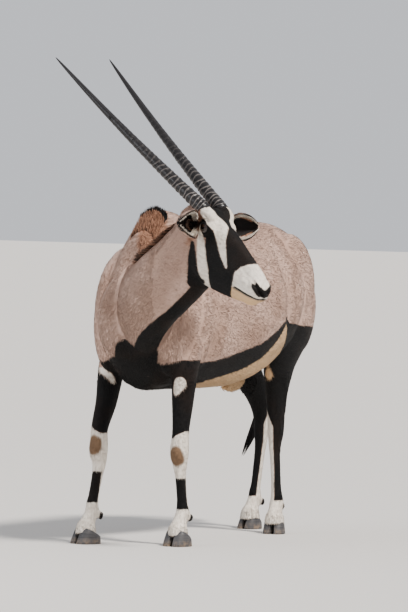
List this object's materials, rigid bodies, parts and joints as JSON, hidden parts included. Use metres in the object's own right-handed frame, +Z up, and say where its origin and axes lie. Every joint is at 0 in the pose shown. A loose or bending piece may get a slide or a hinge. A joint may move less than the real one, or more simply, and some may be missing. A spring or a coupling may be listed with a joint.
{
  "type": "gemsbok, still life-size model",
  "caption": "Life-size standing antelope with its head turned to its left, long straight ringed horns, a black and white face and legs, and a tufted tail.",
  "frame": {"origin": "middle of the footprint of the whole model's box, on the floor under the hooves", "axes": "+Z up; the trunk faces -Y; the animal's left side is +X; the head is turned to its left"},
  "size_m": [0.9526, 1.7084, 1.7051],
  "materials": {
    "coat_fawn": "short flat fawn-grey fur",
    "coat_black": "short flat black-brown fur",
    "coat_white": "short flat white fur with black bands",
    "hair_black": "long coarse black hair",
    "ear": "short fur outside, sparse hair inside",
    "horn": "dark horn, ringed, satin",
    "hoof": "grey-black hoof, dusty",
    "eye": "wet dark brown"
  },
  "bodies": {
    "root": {"claw_front_left_inner": "hoof", "claw_front_left_outer": "hoof", "claw_front_right_inner": "hoof", "claw_front_right_outer": "hoof", "claw_hind_left_inner": "hoof", "claw_hind_left_outer": "hoof", "claw_hind_right_inner": "hoof", "claw_hind_right_outer": "hoof", "ear_left": "ear", "ear_right": "ear", "eye_left": "eye", "eye_right": "eye", "head": "coat_fawn", "horn_left": "horn", "horn_right": "horn", "leg_front_left_cannon": "coat_white", "leg_front_left_foot": "coat_white", "leg_front_left_upper": "coat_black", "leg_front_right_cannon": "coat_white", "leg_front_right_foot": "coat_white", "leg_front_right_upper": "coat_black", "leg_hind_left_cannon": "coat_white", "leg_hind_left_foot": "coat_white", "leg_hind_left_upper": "coat_black", "leg_hind_right_cannon": "coat_white", "leg_hind_right_foot": "coat_white", "leg_hind_right_upper": "coat_black", "neck_lower": "coat_fawn", "neck_upper": "coat_fawn", "tail_dock": "coat_fawn", "tail_tuft": "hair_black", "torso_front": "coat_fawn", "torso_rear": "coat_fawn"}
  },
  "joints": []
}
